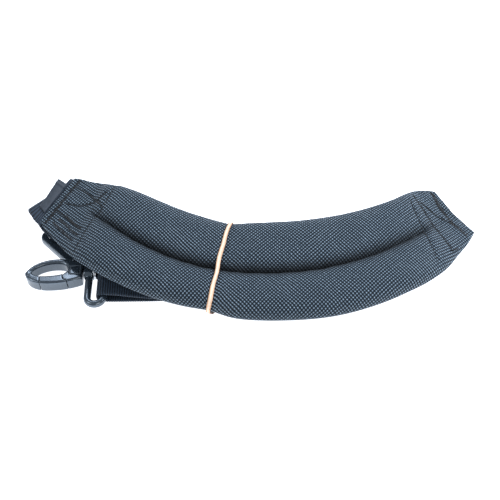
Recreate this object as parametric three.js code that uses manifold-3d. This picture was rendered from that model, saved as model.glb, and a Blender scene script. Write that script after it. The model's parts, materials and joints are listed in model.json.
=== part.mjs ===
// Camera neck strap, folded into a flat bundle and lying on its underside.
// A curved pad of two stuffed rolls has a webbing strap at each end. Each strap runs under the
// pad through a slider to the loop of a swivel snap hook, and a rubber band holds the bundle.
// Lengths are in millimetres and +Z is up. While it is built, Z is 0 on the surface it lies on.
import * as THREE from 'three';
import { mergeVertices } from 'three/addons/utils/BufferGeometryUtils.js';
import Module from 'manifold-3d';

const wasm = await Module();
wasm.setup();

// ---------------------------------------------------------------- driving dimensions

const GAP = 0.3; // room left between neighbouring pieces

const PAD = {
  centre: new THREE.Vector2(8.6, 113.5), // of the arc that the sewn furrow follows
  radius: 149, // of that arc
  edge: 1.1, // half the thickness of the sewn outer edge
  furrowFloor: 1.6, // half the thickness left in the furrow where it is deepest
  squareness: 2.6, // how flat the top of a roll is: 2 is an ellipse
  fullness: 0.55, // how steep its sides are: 0.5 is upright at the seam
};

const WEBBING = { width: 38, thickness: 1.6, ply: 1.9 }; // ply is the pitch of two stacked layers

const SLIDER = {
  length: 30, width: 47, height: 4.6, corner: 5, side: 4.2,
  endBar: 4.5, middleBar: 5, barUnderside: 2.3, bevel: 0.8,
};

const LOOP = { rod: 4.6, width: 46.4, depth: 9.4, corner: 4.6 }; // width and depth to rod middles

const HOOK = {
  thickness: 8.6, bevel: 1.4, baseEnd: -3.9,
  pitch: 4.5, // degrees that the nose lies lower than the loop
  postRadius: 2.3, bossRadius: 4.0, headRadius: 3.6, headLength: 1.6,
};

const GATE = {
  pivotX: -12.6, pivotY: -3.9, knuckle: 3.1, pinRadius: 0.8, pinPlay: 0.25, tongue: 3.8,
  roomTop: -0.9, armTop: -2.1, // Y up to which the room for the gate and its arm reach
};

const BAND = { at: -10.6, width: 2.7, thickness: 0.9 }; // at is degrees round the pad's arc

const LABEL = { thickness: 0.8 };

// ---------------------------------------------------------------- materials

const finish = (color, roughness, metalness = 0) =>
  new THREE.MeshStandardMaterial({ color, roughness, metalness });

const PAD_CLOTH = finish('#34404c', 0.9);
const WEBBING_CLOTH = finish('#23272e', 0.85);
const LABEL_CLOTH = finish('#2b3038', 0.7);
const BLACK_PLASTIC = finish('#15171b', 0.25);
const STEEL = finish('#b9bec4', 0.3, 1);
const RUBBER = finish('#e8c9a8', 0.6);

// ---------------------------------------------------------------- shape helpers

const radians = THREE.MathUtils.degToRad;
const lerp = THREE.MathUtils.lerp;

// Passes a smooth curve through the rows of a table, column by column.
function smoothRows(rows, steps) {
  const rowAt = (index) => rows[THREE.MathUtils.clamp(index, 0, rows.length - 1)];
  const spline = (a, b, c, d, t) =>
    0.5 * (2 * b + (c - a) * t + (2 * a - 5 * b + 4 * c - d) * t ** 2
      + (3 * b - a - 3 * c + d) * t ** 3);
  const smooth = [];
  for (let index = 0; index < rows.length - 1; index += 1) {
    for (let step = 0; step < steps; step += 1) {
      const row = {};
      for (const column of Object.keys(rows[index])) {
        const values = [-1, 0, 1, 2].map((offset) => rowAt(index + offset)[column]);
        row[column] = spline(...values, step / steps);
      }
      smooth.push(row);
    }
  }
  smooth.push(rowAt(rows.length - 1));
  return smooth;
}

// Six times the volume that a mesh encloses: negative when its faces point inwards.
function signedVolume(points, faces) {
  let volume = 0;
  for (let corner = 0; corner < faces.length; corner += 3) {
    const [a, b, c] = [0, 1, 2].map((step) => points[faces[corner + step]]);
    volume += a.dot(new THREE.Vector3().crossVectors(b, c));
  }
  return volume;
}

// Skins rings of points into one closed body, with a flat cap at each end unless it closes.
function skin(rings, closed = false) {
  const points = rings.flat();
  const around = rings[0].length;
  const faces = [];
  const spans = closed ? rings.length : rings.length - 1;
  for (let ring = 0; ring < spans; ring += 1) {
    const here = ring * around;
    const there = ((ring + 1) % rings.length) * around;
    for (let side = 0; side < around; side += 1) {
      const next = (side + 1) % around;
      faces.push(here + side, there + side, there + next, here + side, there + next, here + next);
    }
  }
  if (!closed) {
    for (const [start, turn] of [[0, 1], [(rings.length - 1) * around, -1]]) {
      const middle = new THREE.Vector3();
      for (let side = 0; side < around; side += 1) {
        middle.addScaledVector(points[start + side], 1 / around);
      }
      points.push(middle);
      for (let side = 0; side < around; side += 1) {
        const edge = [start + side, start + (side + 1) % around];
        if (turn < 0) edge.reverse();
        faces.push(points.length - 1, ...edge);
      }
    }
  }
  if (signedVolume(points, faces) < 0) faces.reverse();
  const geometry = new THREE.BufferGeometry().setFromPoints(points);
  geometry.setIndex(faces);
  return geometry;
}

// Turns a closed mesh into a solid that can be joined and cut.
function solid(geometry) {
  const bare = geometry.clone();
  bare.deleteAttribute('normal');
  bare.deleteAttribute('uv');
  const merged = mergeVertices(bare, 1e-3);
  const corners = [];
  for (let corner = 0; corner < merged.index.count; corner += 3) {
    const [a, b, c] = [0, 1, 2].map((step) => merged.index.getX(corner + step));
    if (a !== b && b !== c && c !== a) corners.push(a, b, c);
  }
  return new wasm.Manifold(new wasm.Mesh({
    numProp: 3,
    vertProperties: new Float32Array(merged.attributes.position.array),
    triVerts: new Uint32Array(corners),
  }));
}

// Turns a solid back into a mesh geometry.
function surface(body) {
  const mesh = body.getMesh();
  const geometry = new THREE.BufferGeometry();
  geometry.setAttribute('position', new THREE.BufferAttribute(mesh.vertProperties, 3));
  geometry.setIndex(new THREE.BufferAttribute(mesh.triVerts, 1));
  return geometry;
}

function block(x, y, z, width, depth, height) {
  return new THREE.BoxGeometry(width, depth, height).translate(x, y, z);
}

// A plate of an outline, centred on z = 0, with rounded edges that stay inside the outline.
function roundedPlate(shape, height, bevel, segments, curveSegments) {
  const plate = new THREE.ExtrudeGeometry(shape, {
    depth: height - 2 * bevel,
    bevelThickness: bevel,
    bevelSize: bevel,
    bevelOffset: -bevel,
    bevelSegments: segments,
    curveSegments,
  });
  return plate.translate(0, 0, bevel - height / 2);
}

// A rectangle with round corners, drawn round its own middle.
function roundedRectangle(target, width, depth, corner) {
  const [x, y] = [width / 2, depth / 2];
  target.moveTo(x, corner - y);
  target.lineTo(x, y - corner);
  target.absarc(x - corner, y - corner, corner, 0, Math.PI / 2, false);
  target.lineTo(corner - x, y);
  target.absarc(corner - x, y - corner, corner, Math.PI / 2, Math.PI, false);
  target.lineTo(-x, corner - y);
  target.absarc(corner - x, corner - y, corner, Math.PI, 1.5 * Math.PI, false);
  target.lineTo(x - corner, -y);
  target.absarc(x - corner, corner - y, corner, 1.5 * Math.PI, 2 * Math.PI, false);
  return target;
}

// ---------------------------------------------------------------- pad

// One row a section, from the left end to the right. Inside is the concave edge, outside the
// convex one: each has its angle round the arc (degrees, 0 points at -Y) and its distance from
// the furrow. Crown and belly are the half thicknesses above and below the seam plane, furrow
// is how deep the middle channel is (0 to 1), and rise is the height of the seam plane.
const PAD_COLUMNS = [
  'insideAt', 'inside', 'outsideAt', 'outside', 'crown', 'belly', 'furrow', 'rise',
];
const PAD_SECTIONS = [
  [-60.8, 12.1, -53.2, 23.8, 1.7, 1.7, 0, 15],
  [-57, 18, -48, 25.4, 1.8, 1.8, 0, 16.8],
  [-53.3, 22.8, -42.3, 28, 2.4, 2.2, 0, 19],
  [-50.4, 25.2, -38.8, 29.4, 5.6, 4, 0.5, 20.8],
  [-46, 29.6, -34.6, 29.8, 7.3, 5, 0.8, 22],
  [-39, 34, -28.6, 29.6, 7.7, 5.4, 0.9, 21.6],
  [-30, 37, -22, 29.2, 7.7, 5.5, 0.95, 20.2],
  [-18, 38, -15.6, 28.4, 7.4, 5.4, 1, 18.9],
  [-10.6, 37.4, -10.6, 28, 6.5, 5, 1, 18.5],
  [-4.5, 39.4, -5.2, 31.4, 7.4, 5.4, 1, 18.4],
  [4, 40.4, 4, 32.4, 7.7, 5.5, 1, 18.4],
  [14, 39.6, 13, 33.2, 7.7, 5.5, 1, 18],
  [24, 37.6, 21.5, 32.2, 7.7, 5.5, 0.95, 17.3],
  [33, 34.8, 28, 31, 7.5, 5.4, 0.9, 16.5],
  [41, 32, 33.6, 29.8, 7, 5, 0.85, 14.8],
  [47.2, 30.8, 38.4, 27.6, 5.8, 4.2, 0.7, 12.4],
  [52, 29.6, 43.4, 23.4, 3, 2.4, 0.2, 9.4],
  [55.2, 25.2, 47.6, 21, 1.8, 1.8, 0, 7.4],
  [57.3, 18.8, 51.4, 18.4, 1.6, 1.6, 0, 6],
].map((row) => Object.fromEntries(PAD_COLUMNS.map((name, column) => [name, row[column]])));

function onPadArc(angle, offset) {
  const reach = PAD.radius + offset;
  return new THREE.Vector2(Math.sin(radians(angle)), -Math.cos(radians(angle)))
    .multiplyScalar(reach).add(PAD.centre);
}

// Half thickness at a share of the way across one roll, from its outer edge (0) to the furrow (1).
function rollHeight(share, thickness, furrow) {
  const floor = lerp(thickness, PAD.furrowFloor, furrow);
  const base = lerp(PAD.edge, floor, share);
  const fromCrown = Math.abs(2 * share - 1);
  return base + (thickness - base) * (1 - fromCrown ** PAD.squareness) ** PAD.fullness;
}

// The closed outline of one pad section: over the top from inside to outside, then back below.
function padSection(row, stepsPerRoll) {
  const inner = onPadArc(row.insideAt, -row.inside);
  const outer = onPadArc(row.outsideAt, row.outside);
  const furrowShare = row.inside / (row.inside + row.outside);
  const across = [];
  for (let step = 0; step <= 2 * stepsPerRoll; step += 1) {
    const second = step > stepsPerRoll;
    const stepInRoll = second ? step - stepsPerRoll : step;
    const share = (1 - Math.cos(Math.PI * stepInRoll / stepsPerRoll)) / 2;
    across.push({
      place: second ? lerp(furrowShare, 1, share) : furrowShare * share,
      toFurrow: second ? 1 - share : share,
    });
  }
  const pointAt = ({ place, toFurrow }, thickness, side) => {
    const plan = inner.clone().lerp(outer, place);
    const height = row.rise + side * rollHeight(toFurrow, thickness, row.furrow);
    return new THREE.Vector3(plan.x, plan.y, height);
  };
  const top = across.map((spot) => pointAt(spot, row.crown, 1));
  const bottom = across.map((spot) => pointAt(spot, row.belly, -1));
  return [...top, ...bottom.reverse()];
}

function padGeometry() {
  return skin(smoothRows(PAD_SECTIONS, 3).map((row) => padSection(row, 8)));
}

// ---------------------------------------------------------------- webbing

// A route in plan: a straight start, one bend to the left or right, and a straight end.
function planRoute({ start, heading, straight, bendRadius, bend }) {
  const forward = (angle) => new THREE.Vector2(Math.cos(angle), Math.sin(angle));
  const angle = radians(heading);
  const turn = Math.sign(bend);
  const bendLength = bendRadius * Math.abs(radians(bend));
  const bendStart = start.clone().addScaledVector(forward(angle), straight);
  const toCentre = forward(angle + turn * Math.PI / 2);
  const bendCentre = bendStart.clone().addScaledVector(toCentre, bendRadius);
  const endAngle = angle + radians(bend);
  const bendEnd = bendCentre.clone().addScaledVector(forward(endAngle - turn * Math.PI / 2), bendRadius);
  return (along) => {
    if (along <= straight) {
      return { spot: start.clone().addScaledVector(forward(angle), along), angle };
    }
    if (along >= straight + bendLength) {
      const rest = along - straight - bendLength;
      return { spot: bendEnd.clone().addScaledVector(forward(endAngle), rest), angle: endAngle };
    }
    const turned = angle + turn * (along - straight) / bendRadius;
    const spot = bendCentre.clone().addScaledVector(forward(turned - turn * Math.PI / 2), bendRadius);
    return { spot, angle: turned };
  };
}

// Rows that carry a strap round a bar or a fold that lies across its route. Side is -1 where
// the strap turns back towards the start of the route's table, and +1 at the other end.
function turnRows(along, height, radius, side, fromTop) {
  const rows = [];
  const steps = 8;
  for (let step = 0; step <= steps; step += 1) {
    const angle = Math.PI * (step / steps - 0.5) * (fromTop ? -1 : 1);
    rows.push({
      along: along + side * radius * Math.cos(angle),
      height: height + radius * Math.sin(angle),
      skew: 0,
    });
  }
  return rows;
}

// Rows for going over a slider's first bar, down its slot and on below its other two bars.
function sliderRows(middle, base, direction) {
  const over = base + SLIDER.height + GAP + WEBBING.thickness / 2;
  const under = base + SLIDER.barUnderside - GAP - WEBBING.thickness / 2;
  const half = SLIDER.length / 2;
  const slot = (SLIDER.length - SLIDER.middleBar) / 2 - SLIDER.endBar;
  const slotStart = half - SLIDER.endBar;
  return [
    { along: middle - direction * (half + 1), height: over, skew: 0 },
    { along: middle - direction * slotStart, height: over, skew: 0 },
    { along: middle - direction * (slotStart - slot * 0.5), height: (over + under) / 2, skew: 0 },
    { along: middle - direction * (slotStart - slot), height: under, skew: 0 },
    { along: middle, height: under, skew: 0 },
    { along: middle + direction * (half + 1), height: under, skew: 0 },
  ];
}

// Sweeps the strap's flat section along rows of distance and height. Skew turns the section in
// plan, in degrees, where the strap is cut or sewn at a slant.
function strapGeometry(route, rows) {
  const centres = rows.map(({ along, height }) => {
    const { spot } = route(along);
    return new THREE.Vector3(spot.x, spot.y, height);
  });
  const rings = rows.map(({ along, skew }, index) => {
    const { angle } = route(along);
    const acrossAngle = angle + Math.PI / 2 + radians(skew);
    const across = new THREE.Vector3(Math.cos(acrossAngle), Math.sin(acrossAngle), 0);
    const before = centres[Math.max(index - 1, 0)];
    const after = centres[Math.min(index + 1, centres.length - 1)];
    const face = new THREE.Vector3().subVectors(after, before).cross(across).normalize();
    const halfWidth = WEBBING.width / 2 / Math.cos(radians(skew));
    const corner = (side, up) => centres[index].clone()
      .addScaledVector(across, side * halfWidth)
      .addScaledVector(face, up * WEBBING.thickness / 2);
    return [corner(1, 1), corner(-1, 1), corner(-1, -1), corner(1, -1)];
  });
  return skin(rings);
}

const LEFT_ROUTE = planRoute({
  start: new THREE.Vector2(-124.4, 34), heading: -46.3, straight: 46, bendRadius: 70, bend: 46.3,
});
const LEFT_SLIDER = { along: 29, base: 0 };
const LEFT_LOOP = { along: 180.6, height: 4.25 };
const WRAP = LOOP.rod / 2 + GAP + WEBBING.thickness / 2; // radius of a strap round a loop's rod

const leftStrapRows = [
  { along: 5.1, height: 15, skew: 19 },
  { along: 3.8, height: 14.9, skew: 12 },
  ...turnRows(2, 12.7, 2, -1, true),
  { along: 6.5, height: 9.6, skew: 0 },
  ...sliderRows(LEFT_SLIDER.along, LEFT_SLIDER.base, 1),
  { along: 60, height: 0.85, skew: 0 },
  { along: 72, height: 0.85, skew: 0 },
  { along: 86, height: 0.85, skew: 0 },
  { along: 98, height: 1.1, skew: 0 },
  { along: 108, height: 2.05, skew: 0 },
  { along: 134, height: 2.05, skew: 0 },
  { along: 142, height: 1.45, skew: 0 },
  { along: 154, height: 1.4, skew: 0 },
  { along: 168, height: 0.9, skew: 0 },
  ...turnRows(LEFT_LOOP.along, LEFT_LOOP.height, WRAP, 1, false),
  { along: 177, height: 6.6, skew: 0 },
  { along: 173, height: 5, skew: 0 },
  { along: 169.5, height: 3.7, skew: 0 },
  { along: 166, height: 3.35, skew: 0 },
  { along: 142, height: 3.35, skew: 0 },
  { along: 134, height: 3.95, skew: 0 },
  { along: 108, height: 3.95, skew: 0 },
  { along: 96, height: 3, skew: 0 },
];

const HOOK_FRAME = new THREE.Vector3(-96.7, -25, 7.35); // middle of the visible loop's near bar
const farBarX = HOOK_FRAME.x + LOOP.depth * Math.cos(radians(HOOK.pitch));
const farBarZ = HOOK_FRAME.z + LOOP.depth * Math.sin(radians(HOOK.pitch));

const RIGHT_ROUTE = planRoute({
  start: new THREE.Vector2(farBarX, HOOK_FRAME.y), heading: 0, straight: 106.3, bendRadius: 80, bend: 29,
});
const RIGHT_SLIDER = { along: 95, base: 4.55 };

const rightStrapRows = [
  { along: 204, height: 5.2, skew: 0 },
  { along: 214, height: 4, skew: 0 },
  ...turnRows(223.6, 2, 1.1, 1, true),
  { along: 205, height: 0.85, skew: 0 },
  { along: 196, height: 2.8, skew: 0 },
  { along: 187, height: 6.2, skew: 0 },
  { along: 178, height: 8.7, skew: 0 },
  { along: 166, height: 9.2, skew: 0 },
  { along: 156, height: 9.3, skew: 0 },
  { along: 146, height: 9.4, skew: 0 },
  { along: 136, height: 9.6, skew: 0 },
  { along: 126, height: 9.8, skew: 0 },
  { along: 118, height: 10.1, skew: 0 },
  ...sliderRows(RIGHT_SLIDER.along, RIGHT_SLIDER.base, -1),
  { along: 74, height: 6, skew: 0 },
  { along: 50, height: 6, skew: 0 },
  { along: 27, height: 5, skew: 0 },
  { along: 10, height: farBarZ - WRAP, skew: 0 },
  ...turnRows(0, farBarZ, WRAP, -1, false),
  { along: 8, height: farBarZ + WRAP - 0.6, skew: 0 },
  { along: 18, height: 9, skew: 0 },
  { along: 29, height: 7.4, skew: 0 },
  { along: 50, height: 6 + WEBBING.ply, skew: 0 },
  { along: 73, height: 6 + WEBBING.ply, skew: 0 },
];

// ---------------------------------------------------------------- sliders

// Three bars and two slots: the bars are thin at the bottom so that the strap passes below them.
function sliderGeometry(route, { along, base }) {
  const outline = roundedRectangle(new THREE.Shape(), SLIDER.length, SLIDER.width, SLIDER.corner);
  const slotWidth = (SLIDER.length - SLIDER.middleBar) / 2 - SLIDER.endBar;
  const slotLength = SLIDER.width - 2 * SLIDER.side;
  const slotOffset = (SLIDER.middleBar + slotWidth) / 2;
  const plate = roundedPlate(outline, SLIDER.height, SLIDER.bevel, 2, 5);
  const slotAt = (x) => block(x, 0, 0, slotWidth, slotLength, 2 * SLIDER.height);
  const cuts = [slotAt(slotOffset), slotAt(-slotOffset)];
  const channelTop = SLIDER.barUnderside - SLIDER.height / 2;
  cuts.push(block(0, 0, channelTop - SLIDER.height, 2 * SLIDER.length, slotLength, 2 * SLIDER.height));
  const body = cuts.reduce((rest, cut) => rest.subtract(solid(cut)), solid(plate));
  const { spot, angle } = route(along);
  return surface(body).rotateZ(angle).translate(spot.x, spot.y, base + SLIDER.height / 2);
}

// ---------------------------------------------------------------- swivel snap hook

// The hook is drawn in its own frame: X runs along its axis from the nose to the loop, the
// near bar of the loop is on X = 0, and Z stands on its flat side.

// Outer outline: nose at the left, the rounded spine on +Y and the gate side on -Y.
function hookOutline() {
  const outline = new THREE.Shape();
  outline.moveTo(HOOK.baseEnd, -5.6);
  outline.lineTo(HOOK.baseEnd, 5.6);
  outline.bezierCurveTo(-9, 8.2, -13, 10, -20, 10);
  outline.bezierCurveTo(-29, 10, -36, 6.5, -39.2, 0);
  outline.bezierCurveTo(-37.6, -6.4, -31.5, -8.9, -22, -8.9);
  outline.bezierCurveTo(-15, -8.9, -9, -7.8, HOOK.baseEnd, -5.6);
  return outline;
}

function hookEye(target) {
  target.moveTo(-13.2, 0.2);
  target.bezierCurveTo(-12.6, 2.4, -13.4, 5.2, -17.5, 6.2);
  target.bezierCurveTo(-24, 7.4, -32, 5.4, -35, 0.5);
  target.bezierCurveTo(-33, -2.4, -29, -2.9, -24, -2.7);
  target.bezierCurveTo(-20, -2.5, -15.6, -2.5, -13.2, 0.2);
  return target;
}

function hookRing(bevelSegments, curveSegments) {
  const shape = hookOutline();
  shape.holes.push(hookEye(new THREE.Path()));
  return solid(roundedPlate(shape, HOOK.thickness, HOOK.bevel, bevelSegments, curveSegments));
}

// A slab over the stretch of the ring that is the gate, from its slanted nose end to its pivot.
function gateRegion(shrink, top) {
  const outline = new THREE.Shape();
  outline.moveTo(-30.3 + shrink, top);
  outline.lineTo(-29 + shrink, -12);
  outline.lineTo(GATE.pivotX - shrink, -12);
  outline.lineTo(GATE.pivotX - shrink, top);
  outline.closePath();
  const height = 2 * HOOK.thickness;
  const slab = new THREE.ExtrudeGeometry(outline, { depth: height, bevelEnabled: false });
  return solid(slab.translate(0, 0, -height / 2));
}

function pivotDisc(radius, height) {
  const disc = new THREE.CylinderGeometry(radius, radius, height, 20).rotateX(Math.PI / 2);
  return solid(disc.translate(GATE.pivotX, GATE.pivotY, 0));
}

// A round bar along the hook's axis, from one X to another.
function axisBar(radius, fromX, toX) {
  const bar = new THREE.CylinderGeometry(radius, radius, toX - fromX, 20).rotateZ(Math.PI / 2);
  return solid(bar.translate((fromX + toX) / 2, 0, 0));
}

// The ring without its gate. Two round ears hold the pin, with room between them for the tongue.
function hookBodyGeometry() {
  const ring = hookRing(3, 10);
  const tongueRoom = pivotDisc(GATE.knuckle + GAP, GATE.tongue + 2 * GAP);
  const ears = pivotDisc(GATE.knuckle, 2 * HOOK.thickness).intersect(ring);
  const pin = pivotDisc(GATE.pinRadius, HOOK.thickness - 1);
  const open = ring.subtract(gateRegion(0, GATE.roomTop));
  return surface(open.add(ears).subtract(tongueRoom).add(pin));
}

// The gate has a tongue that turns on the pin between the ears.
function gateGeometry() {
  const ring = hookRing(3, 10);
  const earRoom = pivotDisc(GATE.knuckle + GAP, 2 * HOOK.thickness);
  const arm = ring.intersect(gateRegion(GAP, GATE.armTop)).subtract(earRoom);
  const reach = GATE.knuckle + 2;
  const foot = GATE.pivotY - GATE.knuckle + 0.5;
  const bridge = solid(block(
    GATE.pivotX - reach / 2, (foot + GATE.armTop) / 2, 0, reach, GATE.armTop - foot, GATE.tongue,
  ));
  const tongue = pivotDisc(GATE.knuckle, GATE.tongue).add(bridge);
  return surface(arm.add(tongue).subtract(pivotDisc(GATE.pinRadius + GATE.pinPlay, HOOK.thickness)));
}

// The post turns in the loop's boss and ends in a round head behind the loop's near bar.
function swivelPostGeometry() {
  const headStart = LOOP.rod / 2 + GAP;
  const post = axisBar(HOOK.postRadius, HOOK.baseEnd + GAP, headStart + HOOK.headLength);
  return surface(post.add(axisBar(HOOK.headRadius, headStart, headStart + HOOK.headLength)));
}

// ---------------------------------------------------------------- loop

// A ring of round rod, drawn flat with its near bar on X = 0.
function rodRing(bevelSegments, curveSegments) {
  const [halfDepth, halfWidth, slim] = [LOOP.depth / 2, LOOP.width / 2, 0.1];
  const rounding = LOOP.rod / 2 - slim;
  const outer = (grow) => [2 * (halfDepth + grow), 2 * (halfWidth + grow), LOOP.corner + grow];
  const shape = roundedRectangle(new THREE.Shape(), ...outer(slim));
  shape.holes.push(roundedRectangle(new THREE.Path(), ...outer(-slim)));
  const ring = new THREE.ExtrudeGeometry(shape, {
    depth: 2 * slim, bevelThickness: rounding, bevelSize: rounding, bevelSegments, curveSegments,
  });
  return solid(ring.translate(halfDepth, 0, -slim));
}

function loopGeometry() {
  const boss = axisBar(HOOK.bossRadius, -LOOP.rod / 2 - 0.6, LOOP.rod / 2);
  const bore = axisBar(HOOK.postRadius + GAP, -LOOP.rod, LOOP.rod);
  return surface(rodRing(3, 5).add(boss).subtract(bore));
}

// The second hook lies hidden below the pad, so it is one plain piece: body, post and loop.
function hiddenHookGeometry() {
  const shape = hookOutline();
  shape.holes.push(hookEye(new THREE.Path()));
  const [thickness, bevel] = [6.4, 1];
  const body = solid(roundedPlate(shape, thickness, bevel, 1, 5));
  return surface(rodRing(2, 3).add(axisBar(HOOK.postRadius, -6, LOOP.rod / 2)).add(body));
}

// ---------------------------------------------------------------- label and band

// A bare cloth flag sewn into the left end of the pad, lying out over the strap.
function labelGeometry() {
  const outline = new THREE.Shape([
    new THREE.Vector2(-115.1, 40),
    new THREE.Vector2(-127.2, 16.3),
    new THREE.Vector2(-130.9, 22.2),
    new THREE.Vector2(-121.2, 45.5),
  ]);
  const flag = new THREE.ExtrudeGeometry(outline, { depth: LABEL.thickness, bevelEnabled: false });
  return flag.translate(0, 0, 16.15);
}

// The band lies in the upright plane through the pad's arc centre. It is stretched over both
// rolls, dips a little into the furrow and passes below the straps.
function bandGeometry() {
  const low = BAND.thickness / 2 + 0.15;
  const outline = [
    { offset: -38.7, height: 19.4 },
    { offset: -37.6, height: 23.4 },
    { offset: -34.5, height: 25.2 },
    { offset: -28, height: 25.9 },
    { offset: -20, height: 26 },
    { offset: -10, height: 25.8 },
    { offset: -4, height: 24.9 },
    { offset: 0, height: 24.5 },
    { offset: 4, height: 24.9 },
    { offset: 9, height: 25.7 },
    { offset: 15, height: 25.9 },
    { offset: 22, height: 25.6 },
    { offset: 26.8, height: 23.8 },
    { offset: 29.1, height: 19.4 },
    { offset: 28, height: 14 },
    { offset: 20, height: 4.6 },
    { offset: 15, height: 1.2 },
    { offset: 11, height: low },
    { offset: 0, height: low },
    { offset: -16, height: low },
    { offset: -28, height: low },
    { offset: -34, height: low },
    { offset: -36.8, height: 1.6 },
    { offset: -38.4, height: 7 },
    { offset: -39, height: 14 },
  ];
  const outward = onPadArc(BAND.at, 1).sub(onPadArc(BAND.at, 0));
  const alongPad = new THREE.Vector3(-outward.y, outward.x, 0);
  const points = outline.map(({ offset, height }) => {
    const plan = onPadArc(BAND.at, offset);
    return new THREE.Vector3(plan.x, plan.y, height);
  });
  const curve = new THREE.CatmullRomCurve3(points, true, 'centripetal');
  const rings = [];
  const steps = 72;
  for (let step = 0; step < steps; step += 1) {
    const centre = curve.getPointAt(step / steps);
    const face = curve.getTangentAt(step / steps).cross(alongPad).normalize();
    const corner = (side, up) => centre.clone()
      .addScaledVector(alongPad, side * BAND.width / 2)
      .addScaledVector(face, up * BAND.thickness / 2);
    rings.push([corner(1, 1), corner(-1, 1), corner(-1, -1), corner(1, -1)]);
  }
  return skin(rings, true);
}

// ---------------------------------------------------------------- assembly

const bundle = new THREE.Group();

function add(parent, name, geometry, material) {
  const mesh = new THREE.Mesh(geometry, material);
  mesh.name = name;
  parent.add(mesh);
}

add(bundle, 'neck_pad', padGeometry(), PAD_CLOTH);
add(bundle, 'webbing_left', strapGeometry(LEFT_ROUTE, leftStrapRows), WEBBING_CLOTH);
add(bundle, 'webbing_right', strapGeometry(RIGHT_ROUTE, rightStrapRows), WEBBING_CLOTH);
add(bundle, 'slider_left', sliderGeometry(LEFT_ROUTE, LEFT_SLIDER), BLACK_PLASTIC);
add(bundle, 'slider_right', sliderGeometry(RIGHT_ROUTE, RIGHT_SLIDER), BLACK_PLASTIC);
add(bundle, 'end_label', labelGeometry(), LABEL_CLOTH);
add(bundle, 'rubber_band', bandGeometry(), RUBBER);

const swivelHook = new THREE.Group();
swivelHook.position.copy(HOOK_FRAME);
swivelHook.rotation.y = -radians(HOOK.pitch);
add(swivelHook, 'hook_body', hookBodyGeometry(), BLACK_PLASTIC);
add(swivelHook, 'hook_gate', gateGeometry(), BLACK_PLASTIC);
add(swivelHook, 'swivel_post', swivelPostGeometry(), STEEL);
add(swivelHook, 'hook_loop', loopGeometry(), BLACK_PLASTIC);
bundle.add(swivelHook);

const hiddenHook = new THREE.Group();
const { spot: hiddenBar } = LEFT_ROUTE(LEFT_LOOP.along);
hiddenHook.position.set(hiddenBar.x + LOOP.depth, hiddenBar.y, LEFT_LOOP.height);
hiddenHook.rotation.z = Math.PI;
add(hiddenHook, 'hidden_hook', hiddenHookGeometry(), BLACK_PLASTIC);
bundle.add(hiddenHook);

// The origin is the middle of the bundle's footprint, on the surface that it lies on.
bundle.updateMatrixWorld(true);
const box = new THREE.Box3().setFromObject(bundle, true);
const middle = box.getCenter(new THREE.Vector3());
bundle.position.set(-middle.x, -middle.y, -box.min.z);

const cameraNeckStrap = new THREE.Group();
cameraNeckStrap.add(bundle);

export default cameraNeckStrap;
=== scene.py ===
"""Camera neck strap, folded into a flat bundle: the visible pieces round the fixed model.

Drawing places are in millimetres from the drawing's own middle, and place() turns them into
metres in the shared frame. +Z is up, and Z is 0 on the surface that the bundle lies on.
"""

import json
import math

import bmesh
import bpy
import numpy as np
from mathutils import Matrix, Vector, noise
from mathutils.bvhtree import BVHTree


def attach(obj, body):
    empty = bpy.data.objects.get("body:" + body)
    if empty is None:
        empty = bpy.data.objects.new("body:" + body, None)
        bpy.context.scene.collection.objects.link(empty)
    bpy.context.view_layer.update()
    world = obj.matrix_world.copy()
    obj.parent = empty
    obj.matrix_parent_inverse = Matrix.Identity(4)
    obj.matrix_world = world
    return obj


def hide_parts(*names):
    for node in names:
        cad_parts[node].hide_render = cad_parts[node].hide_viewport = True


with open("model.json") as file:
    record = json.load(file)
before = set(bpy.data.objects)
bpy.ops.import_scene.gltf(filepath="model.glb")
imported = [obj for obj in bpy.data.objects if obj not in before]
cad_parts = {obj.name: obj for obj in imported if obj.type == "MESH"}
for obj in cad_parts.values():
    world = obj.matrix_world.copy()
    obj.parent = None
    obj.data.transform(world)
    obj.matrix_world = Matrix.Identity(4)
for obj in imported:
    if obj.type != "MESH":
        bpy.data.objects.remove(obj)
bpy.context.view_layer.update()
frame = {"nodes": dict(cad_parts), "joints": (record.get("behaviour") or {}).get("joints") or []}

bl_info = {
    "name": "Camera neck strap",
    "version": (1, 0, 0),
    "blender": (4, 5, 0),
    "location": "3D View > Sidebar > Neck strap",
    "description": "Builds a folded camera neck strap, one piece or group of pieces at a time",
    "category": "Object",
}

MM = 0.001
CLOTH_UV = "flat_cloth"
# Name of the point values that paint shade into the pad's furrow and along its sewn lines.
PAINTED_SEAM_SHADE = "painted_seam_shade"

HOOK_MIDDLE = Vector((-96.7, -25.0, 7.35))  # of the visible loop's near bar
HOOK_PITCH = math.radians(4.5)  # that the nose lies lower than the loop


def drawing_shift():
    """How far the drawing's middle is from the frame's origin, in millimetres."""
    swivel = next(joint for joint in frame["joints"] if joint["name"] == "hook_swivel")
    shift = Vector(swivel["pos_m"]) / MM - HOOK_MIDDLE
    shift.z = 0
    return shift


SHIFT = drawing_shift()


def place(x, y, z):
    """A drawing place in millimetres as metres in the shared frame."""
    return (Vector((x, y, z)) + SHIFT) * MM


def linear(code):
    """An sRGB hex colour as the linear red, green, blue and alpha that Blender keeps."""
    shares = [int(code[start:start + 2], 16) / 255 for start in (1, 3, 5)]
    values = [s / 12.92 if s <= 0.04045 else ((s + 0.055) / 1.055) ** 2.4 for s in shares]
    return (*values, 1.0)


# ------------------------------------------------------------------ settings


def length(name, description, default):
    return bpy.props.FloatProperty(
        name=name, description=description, default=default, min=0.0, unit="LENGTH", precision=5
    )


def colour(name, description, code):
    return bpy.props.FloatVectorProperty(
        name=name, description=description, default=linear(code), size=4, min=0.0, max=1.0,
        subtype="COLOR",
    )


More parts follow.
